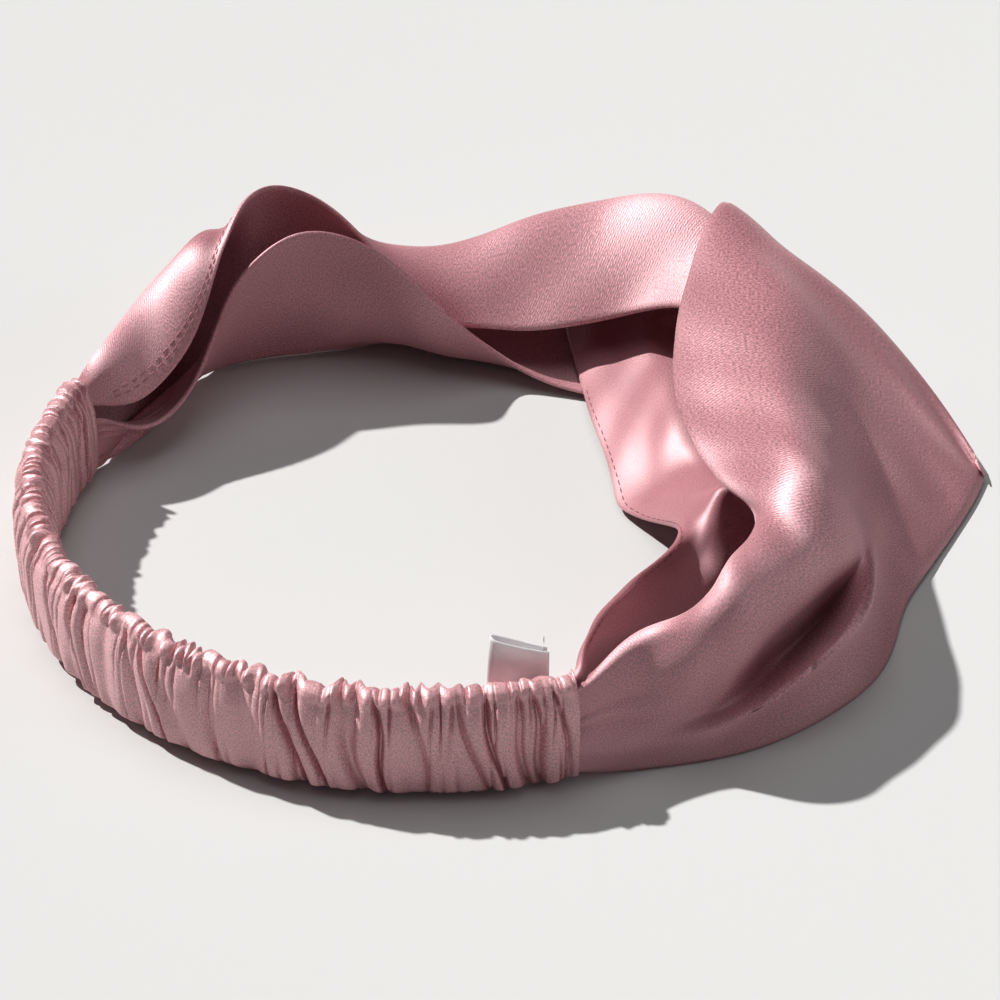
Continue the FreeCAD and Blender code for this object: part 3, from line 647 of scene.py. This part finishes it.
def make_casing(material):
    """The gathered tube: its outer skin, and a plain inner skin that closes it at both mouths."""
    rings, around = ((1100, 88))
    s = np.linspace(0, 1, rings)[:, None]
    half = around // 2
    rise = 0.5 - 0.5 * np.cos(np.linspace(0, math.pi, half + 1))
    z = np.concatenate([rise[:-1], rise[::-1][:-1]])[None, :]
    side = np.concatenate([np.ones(half), -np.ones(half)])[None, :]
    outside, point, out, mouth = casing_outside(s, z, side)
    inner_half = np.clip(casing_section(z) - CASING_WALL, 0.15, 3.0) + 0.9 * mouth * (z < 0.9)
    inside = point + out * (side * inner_half * MM)[..., None]
    inside[..., 2] = (CASING_FLOOR_GAP + 1.2 + (CASING_HEIGHT - 3.6) * z) * MM
    loop = np.concatenate([outside, inside[::-1]], axis=0)
    girth = 2.1 * CASING_HEIGHT * MM * np.linspace(0, 1, around)
    cloth_length = 0.29
    arc = cloth_length * np.concatenate([s[:, 0], s[::-1, 0]])
    uvs = np.stack(np.broadcast_arrays(arc[:, None], girth[None, :]), -1)
    faces = tube_faces(2 * rings, around, closed_rings=True)
    return make_object("casing_cloth", loop.reshape(-1, 3), faces, material, uvs.reshape(-1, 2))


def make_elastic(material):
    """The flat elastic inside the casing."""
    rows, columns = 120, 12
    turn = np.radians(np.linspace(CASING_TURN[0] + 2, CASING_TURN[1] - 2, rows))
    low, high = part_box("elastic_strip")
    point, _ = casing_frame(turn)
    grid = np.repeat(point[:, None, :], columns, axis=1)
    grid[:, :, 2] = np.linspace(low[2] + 0.0015, high[2] - 0.0035, columns)
    return closed_sheet("elastic_strip_woven", grid, ELASTIC, material)


# ---------------------------------------------------------------- label

def make_label(material):
    """A blank tab of satin tape folded in two, sewn by both ends; its top curls and droops towards them."""
    low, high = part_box("care_label")
    length = 11.5 * MM
    point, out = casing_frame(np.array([math.radians(LABEL_TURN)]))
    inward = -out[0]
    back = np.array([out[0][1], -out[0][0], 0])
    foot = point[0] + inward * 5.0 * MM
    rows, columns = 60, 26
    t = np.linspace(0, 1, rows)[:, None]
    z = np.linspace(0, 1, columns)[None, :]
    loop = np.sin(math.pi * t)
    reach = length * loop ** 0.9
    spread = (0.4 + 1.4 * smoothstep(t, 0.35, 0.65)) * MM
    curl = z ** 2 * loop
    side = spread + 2.2 * MM * curl * (t - 0.25)
    lean = reach * 0.16
    grid = (foot + back * reach[..., None] * (1 - 0.08 * z[..., None] ** 2)
            + inward * (side + lean)[..., None])
    droop = 1 - 0.3 * (1 - loop) * z
    grid[..., 2] = low[2] + (high[2] - low[2] - LABEL_TAPE) * z * droop - 0.6 * MM * curl
    return closed_sheet("label_tape", grid, LABEL_TAPE, material)


# ---------------------------------------------------------------- stitch rows

def end_row(name, degrees, thread):
    """Stitches up the outside of the casing at one of its ends."""
    point, out = casing_frame(np.full(40, math.radians(degrees)))
    heights = np.linspace(2, CASING_HEIGHT - 5, 40)
    line = point + out * (casing_section(heights / CASING_HEIGHT) * MM)[:, None]
    line[:, 2] = heights * MM
    return stitches_along(name, line, out, ROW_STITCH, thread)


def casing_seam_row(thread):
    """Stitches along the casing's inner face, near its foot."""
    turn = np.radians(np.linspace(CASING_TURN[0] + 3, LABEL_TURN - 6, 300))
    point, out = casing_frame(turn)
    line = point - out * 3.6 * MM
    line[:, 2] = 3.6 * MM
    return stitches_along("casing_seam_row", line, -out, SEAM_STITCH, thread)


def label_row(thread):
    """Stitches up the label's sewn ends."""
    low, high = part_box("label_stitches")
    _, out = casing_frame(np.full(30, math.radians(LABEL_TURN)))
    line = np.empty((30, 3))
    line[:, 0] = (low[0] + high[0]) / 2
    line[:, 1] = (low[1] + high[1]) / 2
    line[:, 2] = np.linspace(low[2], high[2], 30)
    return stitches_along("label_row", line, -out, ROW_STITCH, thread)


# ---------------------------------------------------------------- put together

def ride_on(piece, body, node):
    """A piece that moves with one body and stands for one CAD node."""
    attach(piece, body)
    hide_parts(node)


def stretch_with(piece, node):
    """A piece that stays where it is built, on no body, and stands for one CAD node."""
    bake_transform(piece)
    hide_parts(node)


def assemble():
    satin = satin_material("rose_satin", (0.49, 0.225, 0.255), (0.55, 0.26, 0.29))
    # The casing is the same rose satin with painted light: its lighter colour stands in for the light its
    # front catches from the bright floor.
    gathered = satin_material("rose_satin_painted_lighter", (0.62, 0.32, 0.345), (0.68, 0.36, 0.38), 0.46)
    thread = thread_material("rose_thread", (0.55, 0.24, 0.26))
    pale_thread = thread_material("pale_thread", (0.75, 0.70, 0.71))

    left = ribbon_grid(LEFT_RIBBON, 11)
    right = ribbon_grid(RIGHT_RIBBON, 12)
    band_left = closed_sheet("band_left_cloth", left, CLOTH, satin)
    band_right = closed_sheet("band_right_cloth", right, CLOTH, satin)
    casing = make_casing(gathered)
    elastic = make_elastic(elastic_material())
    label = make_label(label_material())
    left_hem = hem_stitches("band_left_hem", left, LEFT_HEM, thread)
    right_hem = hem_stitches("band_right_hem", right, RIGHT_HEM, thread)

    ride_on(band_left, "front_bands", "band_left")
    ride_on(band_right, "front_bands", "band_right")
    ride_on(left_hem, "front_bands", "band_left_seam")
    ride_on(right_hem, "front_bands", "band_right_seam")
    left_row = end_row("end_row_left", CASING_TURN[0] + 2, thread)
    right_row = end_row("end_row_right", CASING_TURN[1] - 2, thread)
    casing_row = casing_seam_row(thread)
    ride_on(left_row, "front_bands", "end_stitches_left")
    ride_on(right_row, "front_bands", "end_stitches_right")
    ride_on(label, "label", "care_label")
    ride_on(label_row(pale_thread), "label", "label_stitches")
    stretch_with(casing, "elastic_casing")
    stretch_with(elastic, "elastic_strip")
    stretch_with(casing_row, "casing_seam")


# ---------------------------------------------------------------- studio

def make_floor():
    bpy.ops.mesh.primitive_plane_add(size=6)
    floor = bpy.context.object
    floor.name = "floor"
    floor.data.materials.append(floor_material())


def make_sun():
    """The hard main light, high up, from the left and behind."""
    data = bpy.data.lights.new("sun", "SUN")
    data.energy = 3.8
    data.angle = math.radians(1.6)
    data.color = (1.0, 0.985, 0.965)
    sun = bpy.data.objects.new("sun", data)
    bpy.context.collection.objects.link(sun)
    sun.rotation_euler = Vector((-0.69, 0.41, 1.0)).to_track_quat("Z", "Y").to_euler()


def make_fill(name, place, size, power):
    """A large soft light that faces the headband."""
    data = bpy.data.lights.new(name, "AREA")
    data.energy = power
    data.size = size
    lamp = bpy.data.objects.new(name, data)
    bpy.context.collection.objects.link(lamp)
    lamp.location = place
    lamp.rotation_euler = Vector(place).to_track_quat("Z", "Y").to_euler()


def make_world():
    """A dim even sky, just enough for the shadows not to go black."""
    world = bpy.data.worlds.new("studio")
    world.use_nodes = True
    sky = world.node_tree.nodes["Background"]
    sky.inputs["Color"].default_value = (0.95, 0.97, 1.0, 1)
    sky.inputs["Strength"].default_value = 0.07
    bpy.context.scene.world = world


def make_camera():
    data = bpy.data.cameras.new("camera")
    data.lens = 136.35
    data.sensor_width = 36
    data.clip_start = 0.01
    data.clip_end = 50
    camera = bpy.data.objects.new("camera", data)
    bpy.context.collection.objects.link(camera)
    camera.location = (-0.0004, -0.5977, 0.5101)
    camera.rotation_euler = (math.radians(50), 0, 0)
    bpy.context.scene.camera = camera


assemble()
make_floor()
make_sun()
make_fill("front_fill", (1.2, -0.3, 0.8), 0.8, 2.2)
make_fill("top_fill", (0.0, 0.1, 1.6), 1.0, 4.9)
make_world()
make_camera()
bpy.context.scene.view_settings.view_transform = "Standard"
bpy.context.scene.view_settings.look = "Medium High Contrast"
